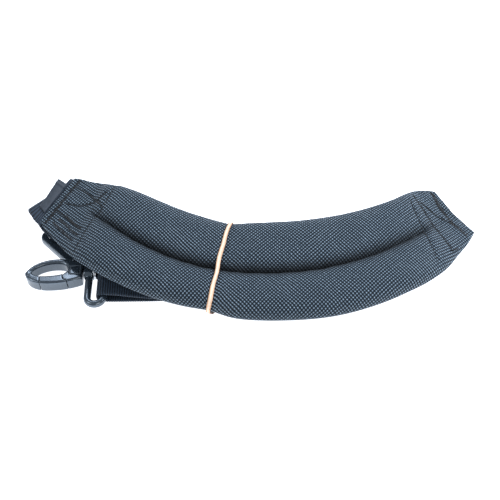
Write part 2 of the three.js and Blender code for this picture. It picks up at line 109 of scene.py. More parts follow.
class PadSettings(bpy.types.PropertyGroup):
    """The stuffed pad and its sewing."""

    yarn_pitch: length("Yarn pitch", "Distance between raised yarns along a row", 2.32 * MM)
    row_pitch: length("Row pitch", "Distance between rows of raised yarns", 1.28 * MM)
    # The yarn colour is partly a painted highlight on the raised yarns, and the gap colour is
    # painted shade between them; the gap colour also paints the shade in the furrow.
    yarn: colour("Yarn", "Colour of the raised yarns", "#8a9caa")
    ground: colour("Ground", "Colour of the yarns between", "#202e3a")
    gap: colour("Gaps", "Colour deep between the yarns", "#05080c")
    thread: colour("Sewing thread", "Colour of the tab stitching", "#080b10")
    loose_thread: colour("Loose thread", "Colour of the loose thread ends", "#b9bec4")
    stitch_pitch: length("Stitch pitch", "Distance between stitches", 2.1 * MM)
    thread_size: length("Thread thickness", "Thickness of the sewing thread", 0.66 * MM)


class WebbingSettings(bpy.types.PropertyGroup):
    """The two straps."""

    width: length("Width", "Width of the webbing", 38 * MM)
    thickness: length("Thickness", "Thickness of the webbing", 1.6 * MM)
    rib_pitch: length("Rib pitch", "Distance between the ribs across the webbing", 1.4 * MM)
    rib_depth: length("Rib depth", "How far the ribs stand up", 0.1 * MM)
    # The cloth colour is the webbing's own on the ribs; the gap colour between the ribs is painted
    # shade.
    cloth: colour("Cloth", "Colour on the ribs", "#303f50")
    gap: colour("Gaps", "Colour between the ribs", "#0a0f17")


class HardwareSettings(bpy.types.PropertyGroup):
    """The hooks, loops and sliders."""

    plastic: colour("Plastic", "Colour of the moulded plastic", "#262e36")
    steel: colour("Steel", "Colour of the swivel post", "#c9cdd2")
    grain: length("Grain", "Detail size of the moulded surface", 0.3 * MM)


class TrimSettings(bpy.types.PropertyGroup):
    """The bare label and the rubber band."""

    label: colour("Label", "Colour of the label's satin", "#1d242d")
    label_shine: colour("Label highlights", "Colour of the satin's raised threads", "#333e4b")
    # The band middle colour makes the band paler down its middle; the edge colour is partly the cut
    # edges' own brown and partly painted shade.
    band: colour("Band", "Colour of the rubber band", "#e6bd99")
    band_pale: colour("Band middle", "Colour of the worn middle of the band", "#f0dcc8")
    band_edge: colour("Band edges", "Colour of the band's cut edges", "#6b3f2e")
    band_width: length("Band width", "Width of the rubber band", 2.7 * MM)
    band_thickness: length("Band thickness", "Thickness of the rubber band", 0.9 * MM)


class StageSettings(bpy.types.PropertyGroup):
    """The floor, the lights and the camera."""

    floor: colour("Floor", "Colour of the floor", "#f6f7f9")
    camera_distance: length("Camera distance", "From the camera to the drawing's middle", 0.8)
    camera_elevation: bpy.props.FloatProperty(
        name="Camera elevation", description="Angle of the camera above the horizon",
        default=math.radians(50), subtype="ANGLE",
    )
    lens: bpy.props.FloatProperty(
        name="Lens", description="Focal length in millimetres on a 36 mm sensor", default=92.9
    )


class NeckStrapSettings(bpy.types.PropertyGroup):
    """All settings of the neck strap."""

    pad: bpy.props.PointerProperty(type=PadSettings)
    webbing: bpy.props.PointerProperty(type=WebbingSettings)
    hardware: bpy.props.PointerProperty(type=HardwareSettings)
    trim: bpy.props.PointerProperty(type=TrimSettings)
    stage: bpy.props.PointerProperty(type=StageSettings)


def settings():
    return bpy.context.scene.neck_strap


# ------------------------------------------------------------------ materials


MATH = "ShaderNodeMath"
MAP_RANGE = "ShaderNodeMapRange"
MIX = "ShaderNodeMix"
NOISE = "ShaderNodeTexNoise"
BUMP = "ShaderNodeBump"
SURFACE = "ShaderNodeBsdfPrincipled"
OUTPUT = "ShaderNodeOutputMaterial"


def add(tree, kind, inputs=None, **choices):
    """Adds a node. inputs gives its sockets, by name or number, a value, a link or a node.

    A node given as an input is linked from its first output.
    """
    made = tree.nodes.new(kind)
    for name, value in choices.items():
        setattr(made, name, value)
    for socket, value in (inputs or {}).items():
        if isinstance(value, bpy.types.Node):
            value = value.outputs[0]
        if isinstance(value, bpy.types.NodeSocket):
            tree.links.new(value, made.inputs[socket])
        else:
            made.inputs[socket].default_value = value
    return made


def new_material(name):
    """A material of that name with no nodes, and its tree."""
    material = bpy.data.materials.new(name)
    material.use_nodes = True
    material.node_tree.nodes.clear()
    return material, material.node_tree


def ballistic_nylon():
    """Ballistic nylon, plain woven from thick textured yarn.

    Each yarn shows as a pale rounded fleck where it passes over, and the gaps are nearly
    black. The flecks' pale yarn colour is partly a painted highlight on the yarn tops, and the
    near-black gap colour is painted shade between the yarns. The flecks lie in staggered rows
    and lean into slanting lines, more so where the cloth is pulled. Light catches the flecks,
    not the ground.
    """
    own = settings().pad
    material, tree = new_material("ballistic_nylon_woven")
    flat = add(tree, "ShaderNodeUVMap", uv_map=CLOTH_UV)
    # Yarns wander by about a tenth of a millimetre over every 7 mm or so.
    wander = add(tree, NOISE, {"Vector": flat, "Scale": 150.0, "Detail": 2.0})
    swing = add(tree, MAP_RANGE, {0: wander, 3: -1.1, 4: 1.1})
    along, across = add(tree, "ShaderNodeSeparateXYZ", {0: flat}).outputs[:2]
    waves = {"COSINE": [], "SINE": []}
    for part, pitch in ((along, own.yarn_pitch), (across, 2 * own.row_pitch)):
        turn = add(tree, MATH, {0: part, 1: math.tau / pitch, 2: swing}, operation="MULTIPLY_ADD")
        for kind, made in waves.items():
            wave = add(tree, MATH, {0: turn}, operation=kind)
            made.append(wave)
    upright, leaning = [
        add(tree, MATH, {0: pair[0], 1: pair[1]}, operation="MULTIPLY")
        for pair in waves.values()
    ]
    pull = add(tree, NOISE, {"Vector": flat, "Scale": 34.0, "Detail": 1.0})
    lean = add(tree, MAP_RANGE, {0: pull, 1: 0.35, 2: 0.65, 3: -0.42, 4: 0.24})
    weave = add(tree, MATH, {0: leaning, 1: lean, 2: upright}, operation="MULTIPLY_ADD")
    # Single filaments give each fleck a slightly different brightness.
    fleck = add(tree, NOISE, {"Vector": flat, "Scale": 620.0, "Detail": 2.0})
    uneven = add(tree, MAP_RANGE, {0: fleck, 1: 0.3, 2: 0.7, 3: 0.55, 4: 1.15})
    # Painted light: the raised flecks take the yarn colour as a painted highlight, and the gaps
    # take the gap colour as painted shade.
    over = add(tree, MAP_RANGE, {0: weave, 1: 0.1, 2: 0.95}, interpolation_type="SMOOTHSTEP")
    under = add(tree, MAP_RANGE, {0: weave, 1: -0.9, 2: 0.15}, interpolation_type="SMOOTHSTEP")
    base = add(tree, MIX, {0: under, 6: own.gap, 7: own.ground}, data_type="RGBA")
    lit = add(tree, MATH, {0: over, 1: uneven}, operation="MULTIPLY", use_clamp=True)
    top = add(tree, MIX, {0: lit, 6: base.outputs[2], 7: own.yarn}, data_type="RGBA")
    # Painted shade: cloth that is pulled down into the furrow or below a seam is mixed towards the
    # gap colour, standing in for the shade that falls there.
    depth = add(tree, "ShaderNodeAttribute", attribute_name=PAINTED_SEAM_SHADE)
    painted_shade_share = add(tree, MAP_RANGE, {0: depth.outputs["Fac"], 3: 0.0, 4: 0.92})
    shade = add(tree, MIX, {0: painted_shade_share, 6: top.outputs[2], 7: own.gap}, data_type="RGBA")
    bump = add(tree, BUMP, {"Height": weave, "Strength": 1.0, "Distance": 0.3 * MM})
    surface = add(tree, SURFACE, {
        "Base Color": shade.outputs[2], "Roughness": 0.7, "Sheen Weight": 0.03,
        "Sheen Roughness": 0.5, "IOR": 1.5, "Specular IOR Level": 0.18, "Normal": bump,
    })
    add(tree, OUTPUT, {"Surface": surface})
    return material


def nylon_webbing():
    """Nylon webbing, tightly woven: dark, with dull ribs straight across its width, and painted
    shade in the gaps between them.
    """
    own = settings().webbing
    material, tree = new_material("nylon_webbing_woven")
    flat = add(tree, "ShaderNodeUVMap", uv_map=CLOTH_UV)
    along, across = add(tree, "ShaderNodeSeparateXYZ", {0: flat}).outputs[:2]
    turn = add(tree, MATH, {0: along, 1: math.tau / own.rib_pitch}, operation="MULTIPLY")
    rib = add(tree, MATH, {0: turn}, operation="SINE")
    # Warp yarns of about 0.5 mm cross the ribs, drawn at 0.9 mm so that they still show.
    cross = add(tree, MATH, {0: across, 1: math.tau / (0.9 * MM)}, operation="MULTIPLY")
    warp = add(tree, MATH, {0: cross}, operation="SINE")
    height = add(tree, MATH, {0: warp, 1: 0.35, 2: rib}, operation="MULTIPLY_ADD")
    fuzz = add(tree, NOISE, {"Vector": flat, "Scale": 500.0, "Detail": 3.0})
    uneven = add(tree, MATH, {0: fuzz, 1: 1.2, 2: height}, operation="MULTIPLY_ADD")
    # Painted shade: the low places between the ribs are mixed towards the dark gap colour.
    lit = add(tree, MAP_RANGE, {0: uneven, 1: -0.6, 2: 1.9}, interpolation_type="SMOOTHSTEP")
    shade = add(tree, MIX, {0: lit, 6: own.gap, 7: own.cloth}, data_type="RGBA")
    bump = add(tree, BUMP, {"Height": uneven, "Strength": 0.6, "Distance": 0.1 * MM})
    surface = add(tree, SURFACE, {
        "Base Color": shade.outputs[2], "Roughness": 0.65, "Sheen Weight": 0.04, "IOR": 1.5,
        "Specular IOR Level": 0.3, "Normal": bump,
    })
    add(tree, OUTPUT, {"Surface": surface})
    return material


def moulded_acetal():
    """Acetal, injection moulded and glossy, with faint flow marks and fine handling wear."""
    own = settings().hardware
    material, tree = new_material("acetal_moulded_black")
    where = add(tree, "ShaderNodeTexCoord").outputs["Object"]
    flow = add(tree, NOISE, {"Vector": where, "Scale": 220.0, "Detail": 3.0})
    grain = add(tree, NOISE, {"Vector": where, "Scale": 1 / own.grain, "Detail": 2.0})
    rough = add(tree, MAP_RANGE, {0: flow, 1: 0.3, 2: 0.7, 3: 0.1, 4: 0.2})
    worn = add(tree, MAP_RANGE, {0: grain, 1: 0.62, 2: 0.8})
    shade = add(tree, MIX, {0: worn, 6: own.plastic, 7: linear("#2c343c")}, data_type="RGBA")
    bump = add(tree, BUMP, {"Height": grain, "Strength": 0.08, "Distance": 0.02 * MM})
    surface = add(tree, SURFACE, {
        "Base Color": shade.outputs[2], "Roughness": rough, "IOR": 1.66,
        "Specular IOR Level": 1.0, "Specular Tint": linear("#dcecfb"), "Normal": bump,
    })
    add(tree, OUTPUT, {"Surface": surface})
    return material


def turned_steel():
    """Nickel-plated steel, turned: bright, with fine rings left by the tool."""
    own = settings().hardware
    material, tree = new_material("steel_turned_plated")
    where = add(tree, "ShaderNodeTexCoord").outputs["Object"]
    rings = add(tree, "ShaderNodeTexWave", {
        "Vector": where, "Scale": 900.0, "Distortion": 1.5, "Detail": 1.0,
    }, bands_direction="X")
    rough = add(tree, MAP_RANGE, {0: rings.outputs[1], 3: 0.16, 4: 0.34})
    bump = add(tree, BUMP, {"Height": rings.outputs[1], "Strength": 0.2, "Distance": 0.03 * MM})
    surface = add(tree, SURFACE, {
        "Base Color": own.steel, "Metallic": 1.0, "Roughness": rough, "Normal": bump,
    })
    add(tree, OUTPUT, {"Surface": surface})
    return material


def label_satin():
    """Polyester satin tape, woven: smooth, with a soft shine along its fine threads."""
    own = settings().trim
    material, tree = new_material("polyester_satin_woven")
    flat = add(tree, "ShaderNodeUVMap", uv_map=CLOTH_UV)
    along = add(tree, "ShaderNodeSeparateXYZ", {0: flat}).outputs[0]
    # Satin threads are about 0.15 mm apart, drawn at 0.6 mm so that they still show.
    turn = add(tree, MATH, {0: along, 1: math.tau / (0.6 * MM)}, operation="MULTIPLY")
    thread = add(tree, MATH, {0: turn}, operation="SINE")
    patches = add(tree, NOISE, {"Vector": flat, "Scale": 260.0, "Detail": 3.0})
    height = add(tree, MATH, {0: patches, 1: 2.0, 2: thread}, operation="MULTIPLY_ADD")
    lit = add(tree, MAP_RANGE, {0: height, 1: 0.0, 2: 2.4})
    # Painted sheen: the raised threads and patches are mixed towards the lighter highlight colour.
    shade = add(tree, MIX, {0: lit, 6: own.label, 7: own.label_shine}, data_type="RGBA")
    bump = add(tree, BUMP, {"Height": height, "Strength": 0.3, "Distance": 0.06 * MM})
    surface = add(tree, SURFACE, {
        "Base Color": shade.outputs[2], "Roughness": 0.45, "Sheen Weight": 0.06, "IOR": 1.52,
        "Specular IOR Level": 0.35, "Normal": bump,
    })
    add(tree, OUTPUT, {"Surface": surface})
    return material


def natural_rubber():
    """Natural rubber, cut from a tube: cream and matt, paler down the middle, brown on its edges
    and darker there with painted shade.
    """
    own = settings().trim
    material, tree = new_material("natural_rubber_cut")
    flat = add(tree, "ShaderNodeUVMap", uv_map=CLOTH_UV)
    across = add(tree, "ShaderNodeSeparateXYZ", {0: flat}).outputs[1]
    aside = add(tree, MATH, {0: across}, operation="ABSOLUTE")
    patches = add(tree, NOISE, {"Vector": flat, "Scale": 420.0, "Detail": 4.0})
    spread = add(tree, MATH, {0: patches, 1: 0.5 * MM, 2: aside}, operation="MULTIPLY_ADD")
    half = own.band_width / 2
    pale = add(tree, MAP_RANGE, {0: spread, 1: 0.35 * half, 2: 0.75 * half, 3: 1.0, 4: 0.0})
    # The cut edges take the edge colour, partly their own brown and partly painted shade where the
    # band turns away from the light.
    edge = add(tree, MAP_RANGE, {0: spread, 1: 0.9 * half, 2: 1.18 * half})
    middle = add(tree, MIX, {0: pale, 6: own.band, 7: own.band_pale}, data_type="RGBA")
    shade = add(tree, MIX, {0: edge, 6: middle.outputs[2], 7: own.band_edge}, data_type="RGBA")
    bump = add(tree, BUMP, {"Height": patches, "Strength": 0.4, "Distance": 0.1 * MM})
    surface = add(tree, SURFACE, {
        "Base Color": shade.outputs[2], "Roughness": 0.6, "Subsurface Weight": 0.1,
        "Subsurface Radius": (0.6 * MM, 0.3 * MM, 0.2 * MM), "IOR": 1.52,
        "Normal": bump,
    })
    add(tree, OUTPUT, {"Surface": surface})
    return material


def sewing_thread(name, tint):
    """Bonded polyester sewing thread: twisted, so it shows fine slanting strands."""
    material, tree = new_material(name)
    where = add(tree, "ShaderNodeTexCoord").outputs["Object"]
    strands = add(tree, "ShaderNodeTexWave", {
        "Vector": where, "Scale": 700.0, "Distortion": 2.0,
    }, bands_direction="DIAGONAL")
    shade = add(tree, MIX, {
        0: strands.outputs[1], 6: tint, 7: tuple(min(1.0, 1.6 * part) for part in tint),
    }, data_type="RGBA")
    bump = add(tree, BUMP, {"Height": strands.outputs[1], "Strength": 0.4, "Distance": 0.05 * MM})
    surface = add(tree, SURFACE, {
        "Base Color": shade.outputs[2], "Roughness": 0.5, "IOR": 1.52, "Normal": bump,
    })
    add(tree, OUTPUT, {"Surface": surface})
    return material


def pale_floor():
    """A sheet of matt white acrylic lit from below, which leaves hardly any shadow."""
    material, tree = new_material("acrylic_matt_white")
    where = add(tree, "ShaderNodeTexCoord").outputs["Object"]
    cloud = add(tree, NOISE, {"Vector": where, "Scale": 3.0})
    ends = {0: cloud, 6: settings().stage.floor, 7: linear("#fdfdfe")}
    shade = add(tree, MIX, ends, data_type="RGBA")
    surface = add(tree, SURFACE, {
        "Base Color": shade.outputs[2], "Roughness": 0.9,
        "Emission Color": linear("#f6f9ff"), "Emission Strength": 1.15,
    })
    add(tree, OUTPUT, {"Surface": surface})
    return material


# ------------------------------------------------------------------ shape helpers


def link(name, mesh):
    """Puts a mesh in the scene as an object of that name."""
    made = bpy.data.objects.new(name, mesh)
    bpy.context.scene.collection.objects.link(made)
    return made


def evaluated_mesh(holder):
    """The mesh that an object's modifiers make. The object is removed."""
    bpy.context.view_layer.update()
    shown = holder.evaluated_get(bpy.context.evaluated_depsgraph_get())
    mesh = bpy.data.meshes.new_from_object(shown)
    bpy.data.objects.remove(holder)
    return mesh


def lofted(name, rings, flats, closed=False, spread=None):
    """A closed mesh skinned over rings of points in drawing millimetres.

    flats gives each ring's flat cloth places in metres, with one column more than the ring
    has points, so that the cloth's join falls on the ring's first point. spread gives named
    values for each point of the rings.
    """
    count, around = rings.shape[:2]
    spans = count if closed else count - 1
    points = [place(*point) for point in rings.reshape(-1, 3)]
    faces, corners = [], []
    for ring in range(spans):
        after = (ring + 1) % count
        for side in range(around):
            beside = (side + 1) % around
            faces.append((
                ring * around + side, after * around + side,
                after * around + beside, ring * around + beside,
            ))
            corners += [
                flats[ring][side], flats[ring + 1][side],
                flats[ring + 1][side + 1], flats[ring][side + 1],
            ]
    if not closed:
        for ring, order in ((0, 1), (count - 1, -1)):
            middle = len(points)
            points.append(place(*rings[ring].mean(0)))
            for side in range(around):
                beside = (side + 1) % around
                pair = [(ring * around + side, side), (ring * around + beside, side + 1)]
                (first, here), (second, there) = pair[::order]
                faces.append((middle, first, second))
                corners += [flats[ring].mean(0), flats[ring][here], flats[ring][there]]
    mesh = bpy.data.meshes.new(name)
    mesh.from_pydata(points, [], faces)
    cloth = mesh.uv_layers.new(name=CLOTH_UV)
    cloth.data.foreach_set("uv", np.array(corners, np.float32).ravel())
    for title, values in (spread or {}).items():
        layer = mesh.attributes.new(title, "FLOAT", "POINT")
        ends = np.zeros(len(points) - values.size)
        layer.data.foreach_set("value", np.append(values.ravel(), ends).astype(np.float32))
    clean(mesh)
    return mesh


def clean(mesh, join=1e-7):
    """Merges doubled points, drops faces with no area and turns the faces outward."""
    shape = bmesh.new()
    shape.from_mesh(mesh)
    bmesh.ops.remove_doubles(shape, verts=shape.verts, dist=join)
    bmesh.ops.dissolve_degenerate(shape, edges=shape.edges, dist=join)
    if shape.calc_volume(signed=True) < 0:
        bmesh.ops.reverse_faces(shape, faces=shape.faces)
    shape.to_mesh(mesh)
    shape.free()
    mesh.shade_smooth()


def between(a, b, c, d, share):
    """A smooth curve's value between b and c, with a and d on either side of them."""
    return 0.5 * (
        2 * b + (c - a) * share + (2 * a - 5 * b + 4 * c - d) * share ** 2
        + (3 * b - a - 3 * c + d) * share ** 3
    )


def table_at(rows, spots):
    """Values of a table's columns at each spot, on a smooth curve through the rows."""
    rows = np.array(rows, float)
    ends = np.vstack([rows[:1], rows, rows[-1:]])
    values = []
    for spot in spots:
        index = min(int(spot), len(rows) - 2)
        values.append(between(*ends[index:index + 4], spot - index))
    return np.array(values)


def distances_along(points):
    """The distance along a line of points to each of them."""
    return np.concatenate([[0], np.cumsum(np.linalg.norm(np.diff(points, axis=0), axis=1))])


def evenly(points, step, closed=False):
    """Points spaced evenly along a line of points, and their distances along it."""
    line = np.vstack([points, points[:1]]) if closed else np.array(points)
    reach = distances_along(line)
    count = max(2, round(reach[-1] / step))
    spots = np.linspace(0, reach[-1], count + 1)
    if closed:
        spots = spots[:-1]
    return np.stack([np.interp(spots, reach, column) for column in line.T], 1), spots


def softened(values, spread):
    """Values along a line, averaged over their neighbours, with both ends held."""
    reach = int(3 * spread) + 1
    weights = np.exp(-0.5 * (np.arange(-reach, reach + 1) / spread) ** 2)
    weights /= weights.sum()
    before = 2 * values[0] - values[reach:0:-1]
    after = 2 * values[-1] - values[-2:-reach - 2:-1]
    ended = np.vstack([before, values, after])
    return np.stack([np.convolve(column, weights, "valid") for column in ended.T], 1)


def distance_to(points, line):
    """Distance in plan from each point to a line of corners."""
    nearest = np.full(len(points), 1e9)
    for start, end in zip(np.array(line[:-1], float), np.array(line[1:], float)):
        run = end - start
        share = np.clip(((points - start) @ run) / (run @ run), 0, 1)
        gap = np.linalg.norm(points - (start + share[:, None] * run), axis=1)
        nearest = np.minimum(nearest, gap)
    return nearest


def finished(name, mesh, material, body, slot, *nodes):
    """A piece that is ready: its material, its body and the nodes it stands for. The slot is not
    used.
    """
    piece = link(name, mesh)
    mesh.materials.clear()
    mesh.materials.append(material)
    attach(piece, body)
    if nodes:
        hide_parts(*nodes)
    return piece


# ------------------------------------------------------------------ pad

# One row a section, from the left end to the right: the angle round the pad's arc and the
# distance from its furrow, of the concave edge and then of the convex edge, the half
# thickness above and below the seam, how deep the furrow is, and the height of the seam.
PAD_SECTIONS = (
    (-60.8, 12.1, -53.2, 23.8, 1.7, 1.7, 0, 15),
    (-57, 18, -48, 25.4, 1.8, 1.8, 0, 16.8),
    (-53.3, 22.8, -42.3, 28, 2.4, 2.2, 0, 19),
    (-50.4, 25.2, -38.8, 29.4, 5.6, 4, 0.5, 20.8),
    (-46, 29.6, -34.6, 29.8, 7.3, 5, 0.8, 22),
    (-39, 34, -28.6, 29.6, 7.7, 5.4, 0.9, 21.6),
    (-30, 37, -22, 29.2, 7.7, 5.5, 0.95, 20.2),
    (-18, 38, -15.6, 28.4, 7.4, 5.4, 1, 18.9),
    (-10.6, 37.4, -10.6, 28, 6.5, 5, 1, 18.5),
    (-4.5, 39.4, -5.2, 31.4, 7.4, 5.4, 1, 18.4),
    (4, 40.4, 4, 32.4, 7.7, 5.5, 1, 18.4),
    (14, 39.6, 13, 33.2, 7.7, 5.5, 1, 18),
    (24, 37.6, 21.5, 32.2, 7.7, 5.5, 0.95, 17.3),
    (33, 34.8, 28, 31, 7.5, 5.4, 0.9, 16.5),
    (41, 32, 33.6, 29.8, 7, 5, 0.85, 14.8),
    (47.2, 30.8, 38.4, 27.6, 5.8, 4.2, 0.7, 12.4),
    (52, 29.6, 43.4, 23.4, 3, 2.4, 0.2, 9.4),
    (55.2, 25.2, 47.6, 21, 1.8, 1.8, 0, 7.4),
    (57.3, 18.8, 51.4, 18.4, 1.6, 1.6, 0, 6),
)
PAD_CENTRE = np.array([8.6, 113.5])  # of the arc that the furrow follows
PAD_RADIUS = 149.0
PAD_EDGE = 1.1  # half the thickness of the sewn edge
FURROW_FLOOR = 1.1  # half the thickness left in the furrow where it is deepest
BAND_ANGLE = -10.6  # where the rubber band squeezes the pad, in degrees round the arc

# Sewn lines on the two tabs, in plan.
LEFT_ROLL_SEAM = ((-83.1, 32.8), (-85.4, 23.5), (-91.6, 7.9), (-94.5, 5.4), (-104.5, -20))
RIGHT_ROLL_SEAM = ((100, 26.6), (101.7, 16.6), (105, 4.3), (108, -6), (112, -24))
LEFT_LINES = (
    ((-114, 22.5), (-105.7, 19.1), (-94.5, 19.1), (-88.6, 24.1)),
    ((-120.5, 18.5), (-112, 9.5), (-103.5, -1.5)),
    ((-108.5, 36.5), (-99, 27), (-90.5, 12.5)),
)
LEFT_TACKS = (
    ((-120.6, 6.8), (-107.4, -10.6)),
    ((-117.2, 9.6), (-104.4, -7.2)),
    ((-113.4, 12), (-102.6, -2.4)),
)
LEFT_END = ((-107.6, 42), (-125.4, 7.4))
RIGHT_LINES = (
    ((102.8, 32.8), (112.5, 8.6), (122.9, -11.6)),
    ((107.4, 27.7), (117.1, 17.6), (129, 11.8)),
)
RIGHT_END = ((115.4, 39.6), (118.6, 28.6), (126.6, 12.4), (133.6, 4.4))
RIGHT_TACKS = (
    ((117.6, 33.6), (121.6, 25)),
    ((121.4, -12.4), (125.4, -9.4)),
)
SEWN_LINES = (*LEFT_LINES, LEFT_END, *RIGHT_LINES, RIGHT_END)


def on_pad_arc(angle, offset):
    turned = np.radians(angle)
    return PAD_CENTRE + np.array([np.sin(turned), -np.cos(turned)]) * (PAD_RADIUS + offset)


def rounded_off(distance, radius):
    """How full a cushion is at a distance from its edge, from 0 on it to 1."""
    return np.sqrt(1 - (1 - np.clip(distance / radius, 0, 1)) ** 2)


def pad_relief(plan, to_furrow_mm, roll, sewn):
    """What the stuffing, the seams and the band add to the height of the top, in mm."""
    away = plan - PAD_CENTRE
    angle = np.degrees(np.arctan2(away[:, 0], -away[:, 1]))
    from_band = np.abs(np.radians(angle - BAND_ANGLE) * np.linalg.norm(away, axis=1))
    # Cloth bulges on both sides of the band and sinks below it.
    squeeze = 0.55 * np.exp(-((from_band - 4.6) / 2.4) ** 2) * roll
    squeeze -= 0.2 * np.exp(-(from_band / 1.8) ** 2) * roll
    # The stuffing has lumps of about 19 mm, and smaller ones of about 7 mm.
    lumps = np.array([
        0.5 * noise.noise(Vector((x / 19, y / 19, 3.1)))
        + 0.16 * noise.noise(Vector((x / 7, y / 7, 8.2)))
        for x, y in plan
    ])
    # The seam gathers the cloth into puckers across the furrow.
    puckers = np.array([
        0.55 * noise.noise(Vector((turn * 0.42, 0.3 * gap / 10, 5.5)))
        for turn, gap in zip(angle, to_furrow_mm)
    ])
    near_furrow = np.exp(-(to_furrow_mm / 5.5) ** 2)
    # Each seam pulls the cloth in, and the tacks pull it in less.
    dents = np.zeros(len(plan))
    for line in (LEFT_ROLL_SEAM, RIGHT_ROLL_SEAM):
        dents -= 0.7 * np.exp(-(distance_to(plan, line) / 1.1) ** 2)
    for line in SEWN_LINES:
        dents -= 0.5 * np.exp(-(distance_to(plan, line) / 0.9) ** 2)
    for line in (*LEFT_TACKS, *RIGHT_TACKS):
        dents -= 0.2 * np.exp(-(distance_to(plan, line) / 1.3) ** 2)
    # The flat tabs are creased, but the rolls are not.
    creases = np.array([
        0.5 * noise.noise(Vector(((x + y) / 5.5, (x - y) / 13, 1.4))) for x, y in plan
    ])
    stuffed = lumps * (0.4 + 0.6 * roll)
    return squeeze + stuffed + puckers * near_furrow + dents + creases * (1 - sewn)


def pad_rings(per_span, per_roll):
    """The pad's sections as rings of points, with the flat cloth place of each point and the
    painted shade at each point.
    """
    last = len(PAD_SECTIONS) - 1
    close = np.array([0.008, 0.02, 0.038, 0.062, 0.09])
    spots = np.sort(np.concatenate([
        np.linspace(0, last, last * per_span + 1), close, last - close,
    ]))
    rows = table_at(PAD_SECTIONS, spots)
    steps = (1 - np.cos(np.pi * np.arange(per_roll + 1) / per_roll)) / 2
    inner = np.array([on_pad_arc(row[0], -row[1]) for row in rows])
    outer = np.array([on_pad_arc(row[2], row[3]) for row in rows])
    middle = (inner + outer) / 2
    run = distances_along(middle)
    full = rounded_off(np.minimum(run, run[-1] - run), 1.5)
    rings, flats, painted_shades = [], [], []
    for index, row in enumerate(rows):
        share = row[1] / (row[1] + row[3])
        across = np.concatenate([share * steps, share + (1 - share) * steps[1:]])
        to_furrow = np.concatenate([steps, 1 - steps[1:]])
        span = outer[index] - inner[index]
        width = np.linalg.norm(span)
        plan = inner[index] + across[:, None] * span
        # The right end is cut to a shallow hollow.
        ahead = middle[min(index + 1, len(middle) - 1)] - middle[max(index - 1, 0)]
        hollow = np.clip((spots[index] - 16.2) / 1.8, 0, 1) ** 2 * 2.3
        plan = plan - (hollow * 4 * across * (1 - across))[:, None] * ahead / np.linalg.norm(ahead)
        edge = rounded_off(np.minimum(across, 1 - across) * width, 1.7) * full[index]
        hump = (1 - np.abs(2 * to_furrow - 1) ** 2.7) ** 0.5
        gap = np.abs(across - share) * width
        relief = pad_relief(plan, gap, hump, row[6])
        heights = []
        for thickness, extra in ((row[4], relief), (row[5], 0.3 * relief)):
            floor = thickness + (FURROW_FLOOR - thickness) * row[6]
            base = PAD_EDGE + (floor - PAD_EDGE) * to_furrow
            raised = base + (thickness - base) * hump + extra
            heights.append(edge * np.maximum(raised, 0.5))
        top = np.column_stack([plan, row[7] + heights[0]])
        bottom = np.column_stack([plan, row[7] - heights[1]])
        ring = np.vstack([top, bottom[-2:0:-1]])
        rings.append(ring)
        # Painted shade: how far each point is darkened towards the gap colour, in the furrow and,
        # on the flat ends, along the sewn lines.
        depth = row[6] * np.exp(-(gap / 4.3) ** 2)
        if row[6] < 0.6:
            for line in SEWN_LINES:
                depth = np.maximum(depth, 0.85 * np.exp(-(distance_to(plan, line) / 0.75) ** 2))
        painted_shades.append(np.concatenate([depth, depth[-2:0:-1]]))
        girth = distances_along(np.vstack([ring, ring[:1]]))
        girth -= girth[per_roll]
        furrow = inner[index] + share * span
        flats.append((furrow + girth[:, None] * span / width) * MM)
    return np.array(rings), np.array(flats), np.array(painted_shades)


def laid_on(tree, line, lift, step=0.5):
    """Places along a plan line, lifted off the surface that lies below it, in metres."""
    found = []
    for x, y in evenly(np.array(line, float), step)[0]:
        hit = tree.ray_cast(place(x, y, 60), Vector((0, 0, -1)))[0]
        if hit is not None:
            found.append(hit + Vector((0, 0, lift * MM)))
    return found


def path_mesh(name, lines):
    """Lines of places as one mesh of edges."""
    points, edges = [], []
    for line in lines:
        start = len(points)
        points += line
        edges += [(start + step, start + step + 1) for step in range(len(line) - 1)]
    mesh = bpy.data.meshes.new(name)
    mesh.from_pydata(points, edges, [])
    return mesh


